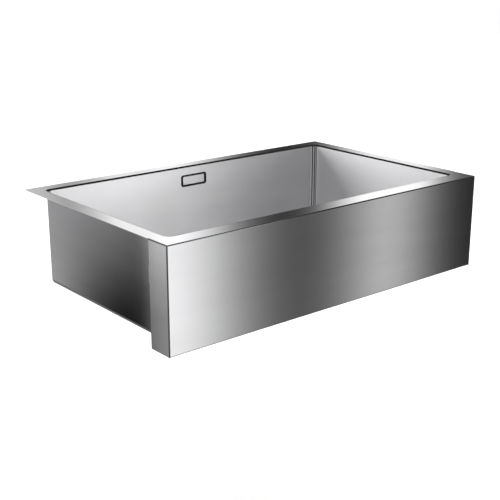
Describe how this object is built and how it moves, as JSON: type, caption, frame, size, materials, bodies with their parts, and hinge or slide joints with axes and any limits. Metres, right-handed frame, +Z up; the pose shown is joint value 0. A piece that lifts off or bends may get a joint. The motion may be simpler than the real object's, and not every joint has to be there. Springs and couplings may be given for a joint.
{
  "type": "inset kitchen sink",
  "caption": "Rectangular apron-front inset kitchen sink in folded stainless steel, with slot overflow, strainer basket waste and swing-out worktop clamps.",
  "frame": {"origin": "the middle of the rim's footprint, on the underside of the foam seal, which is the worktop's surface", "axes": "+X along the sink's width to the right seen from the front, +Y to the back, +Z up"},
  "size_m": [0.8, 0.5, 0.2742],
  "materials": {
    "steel": "fine brushed stainless",
    "rubber": "matt black",
    "plastic": "moulded, dark grey",
    "zinc": "zinc plated",
    "brass": "plain"
  },
  "bodies": {
    "sink": {"bowl": "steel", "deck": "steel", "apron": "steel", "apron_braces": "zinc", "deck_seal": "rubber", "floor_pad_left": "rubber", "floor_pad_right": "rubber", "earth_tag": "zinc", "overflow_gasket": "rubber", "overflow_housing": "plastic", "overflow_studs": "steel", "overflow_stud_nuts": "zinc", "overflow_pipe": "plastic", "overflow_pipe_clips": "steel", "strainer_cup": "steel", "cup_seal": "rubber", "waste_body": "plastic", "waste_tail": "plastic", "body_seal": "rubber", "centre_screw": "steel", "centre_nut": "brass", "clamp_rear_1_bracket": "zinc", "clamp_rear_2_bracket": "zinc", "clamp_rear_3_bracket": "zinc", "clamp_rear_4_bracket": "zinc", "clamp_left_bracket": "zinc", "clamp_right_bracket": "zinc"},
    "overflow_cover_plate": {"overflow_cover": "steel"},
    "strainer_basket": {"basket": "steel", "basket_stem": "steel", "stopper_seal": "rubber"},
    "clamp_rear_1_carrier": {"clamp_rear_1_washer": "zinc"},
    "clamp_rear_1_spindle": {"clamp_rear_1_screw": "zinc"},
    "clamp_rear_1_arm": {"clamp_rear_1_jaw": "zinc"},
    "clamp_rear_2_carrier": {"clamp_rear_2_washer": "zinc"},
    "clamp_rear_2_spindle": {"clamp_rear_2_screw": "zinc"},
    "clamp_rear_2_arm": {"clamp_rear_2_jaw": "zinc"},
    "clamp_rear_3_carrier": {"clamp_rear_3_washer": "zinc"},
    "clamp_rear_3_spindle": {"clamp_rear_3_screw": "zinc"},
    "clamp_rear_3_arm": {"clamp_rear_3_jaw": "zinc"},
    "clamp_rear_4_carrier": {"clamp_rear_4_washer": "zinc"},
    "clamp_rear_4_spindle": {"clamp_rear_4_screw": "zinc"},
    "clamp_rear_4_arm": {"clamp_rear_4_jaw": "zinc"},
    "clamp_left_carrier": {"clamp_left_washer": "zinc"},
    "clamp_left_spindle": {"clamp_left_screw": "zinc"},
    "clamp_left_arm": {"clamp_left_jaw": "zinc"},
    "clamp_right_carrier": {"clamp_right_washer": "zinc"},
    "clamp_right_spindle": {"clamp_right_screw": "zinc"},
    "clamp_right_arm": {"clamp_right_jaw": "zinc"}
  },
  "joints": [
    {"name": "basket_lift", "type": "slide", "parent": "sink", "child": "strainer_basket", "axis": [0, 0, 1], "range_m": [0, 0.24]},
    {"name": "overflow_cover_pull", "type": "slide", "parent": "sink", "child": "overflow_cover_plate", "axis": [0, -1, 0], "range_m": [0, 0.03]},
    {"name": "clamp_rear_1_travel", "type": "slide", "parent": "sink", "child": "clamp_rear_1_carrier", "axis": [0, 0, 1], "range_m": [0, 0.034]},
    {"name": "clamp_rear_1_turn", "type": "hinge", "parent": "clamp_rear_1_carrier", "child": "clamp_rear_1_spindle", "pos_m": [-0.29, 0.2282, -0.09], "axis": [0, 0, 1], "range_deg": [0, 12240]},
    {"name": "clamp_rear_1_swing", "type": "hinge", "parent": "clamp_rear_1_carrier", "child": "clamp_rear_1_arm", "pos_m": [-0.29, 0.2282, -0.089], "axis": [0, 0, -1], "range_deg": [0, 90]},
    {"name": "clamp_rear_2_travel", "type": "slide", "parent": "sink", "child": "clamp_rear_2_carrier", "axis": [0, 0, 1], "range_m": [0, 0.034]},
    {"name": "clamp_rear_2_turn", "type": "hinge", "parent": "clamp_rear_2_carrier", "child": "clamp_rear_2_spindle", "pos_m": [-0.12, 0.2282, -0.09], "axis": [0, 0, 1], "range_deg": [0, 12240]},
    {"name": "clamp_rear_2_swing", "type": "hinge", "parent": "clamp_rear_2_carrier", "child": "clamp_rear_2_arm", "pos_m": [-0.12, 0.2282, -0.089], "axis": [0, 0, -1], "range_deg": [0, 90]},
    {"name": "clamp_rear_3_travel", "type": "slide", "parent": "sink", "child": "clamp_rear_3_carrier", "axis": [0, 0, 1], "range_m": [0, 0.034]},
    {"name": "clamp_rear_3_turn", "type": "hinge", "parent": "clamp_rear_3_carrier", "child": "clamp_rear_3_spindle", "pos_m": [0.12, 0.2282, -0.09], "axis": [0, 0, 1], "range_deg": [0, 12240]},
    {"name": "clamp_rear_3_swing", "type": "hinge", "parent": "clamp_rear_3_carrier", "child": "clamp_rear_3_arm", "pos_m": [0.12, 0.2282, -0.089], "axis": [0, 0, 1], "range_deg": [0, 90]},
    {"name": "clamp_rear_4_travel", "type": "slide", "parent": "sink", "child": "clamp_rear_4_carrier", "axis": [0, 0, 1], "range_m": [0, 0.034]},
    {"name": "clamp_rear_4_turn", "type": "hinge", "parent": "clamp_rear_4_carrier", "child": "clamp_rear_4_spindle", "pos_m": [0.29, 0.2282, -0.09], "axis": [0, 0, 1], "range_deg": [0, 12240]},
    {"name": "clamp_rear_4_swing", "type": "hinge", "parent": "clamp_rear_4_carrier", "child": "clamp_rear_4_arm", "pos_m": [0.29, 0.2282, -0.089], "axis": [0, 0, 1], "range_deg": [0, 90]},
    {"name": "clamp_left_travel", "type": "slide", "parent": "sink", "child": "clamp_left_carrier", "axis": [0, 0, 1], "range_m": [0, 0.034]},
    {"name": "clamp_left_turn", "type": "hinge", "parent": "clamp_left_carrier", "child": "clamp_left_spindle", "pos_m": [-0.3782, -0.1865, -0.09], "axis": [0, 0, 1], "range_deg": [0, 12240]},
    {"name": "clamp_left_swing", "type": "hinge", "parent": "clamp_left_carrier", "child": "clamp_left_arm", "pos_m": [-0.3782, -0.1865, -0.089], "axis": [0, 0, 1], "range_deg": [0, 90]},
    {"name": "clamp_right_travel", "type": "slide", "parent": "sink", "child": "clamp_right_carrier", "axis": [0, 0, 1], "range_m": [0, 0.034]},
    {"name": "clamp_right_turn", "type": "hinge", "parent": "clamp_right_carrier", "child": "clamp_right_spindle", "pos_m": [0.3782, -0.1865, -0.09], "axis": [0, 0, 1], "range_deg": [0, 12240]},
    {"name": "clamp_right_swing", "type": "hinge", "parent": "clamp_right_carrier", "child": "clamp_right_arm", "pos_m": [0.3782, -0.1865, -0.089], "axis": [0, 0, -1], "range_deg": [0, 90]}
  ],
  "couplings": [
    {"joint": "clamp_rear_1_turn", "follows": "clamp_rear_1_travel", "rad_per_m": 6283.2},
    {"joint": "clamp_rear_2_turn", "follows": "clamp_rear_2_travel", "rad_per_m": 6283.2},
    {"joint": "clamp_rear_3_turn", "follows": "clamp_rear_3_travel", "rad_per_m": 6283.2},
    {"joint": "clamp_rear_4_turn", "follows": "clamp_rear_4_travel", "rad_per_m": 6283.2},
    {"joint": "clamp_left_turn", "follows": "clamp_left_travel", "rad_per_m": 6283.2},
    {"joint": "clamp_right_turn", "follows": "clamp_right_travel", "rad_per_m": 6283.2}
  ]
}
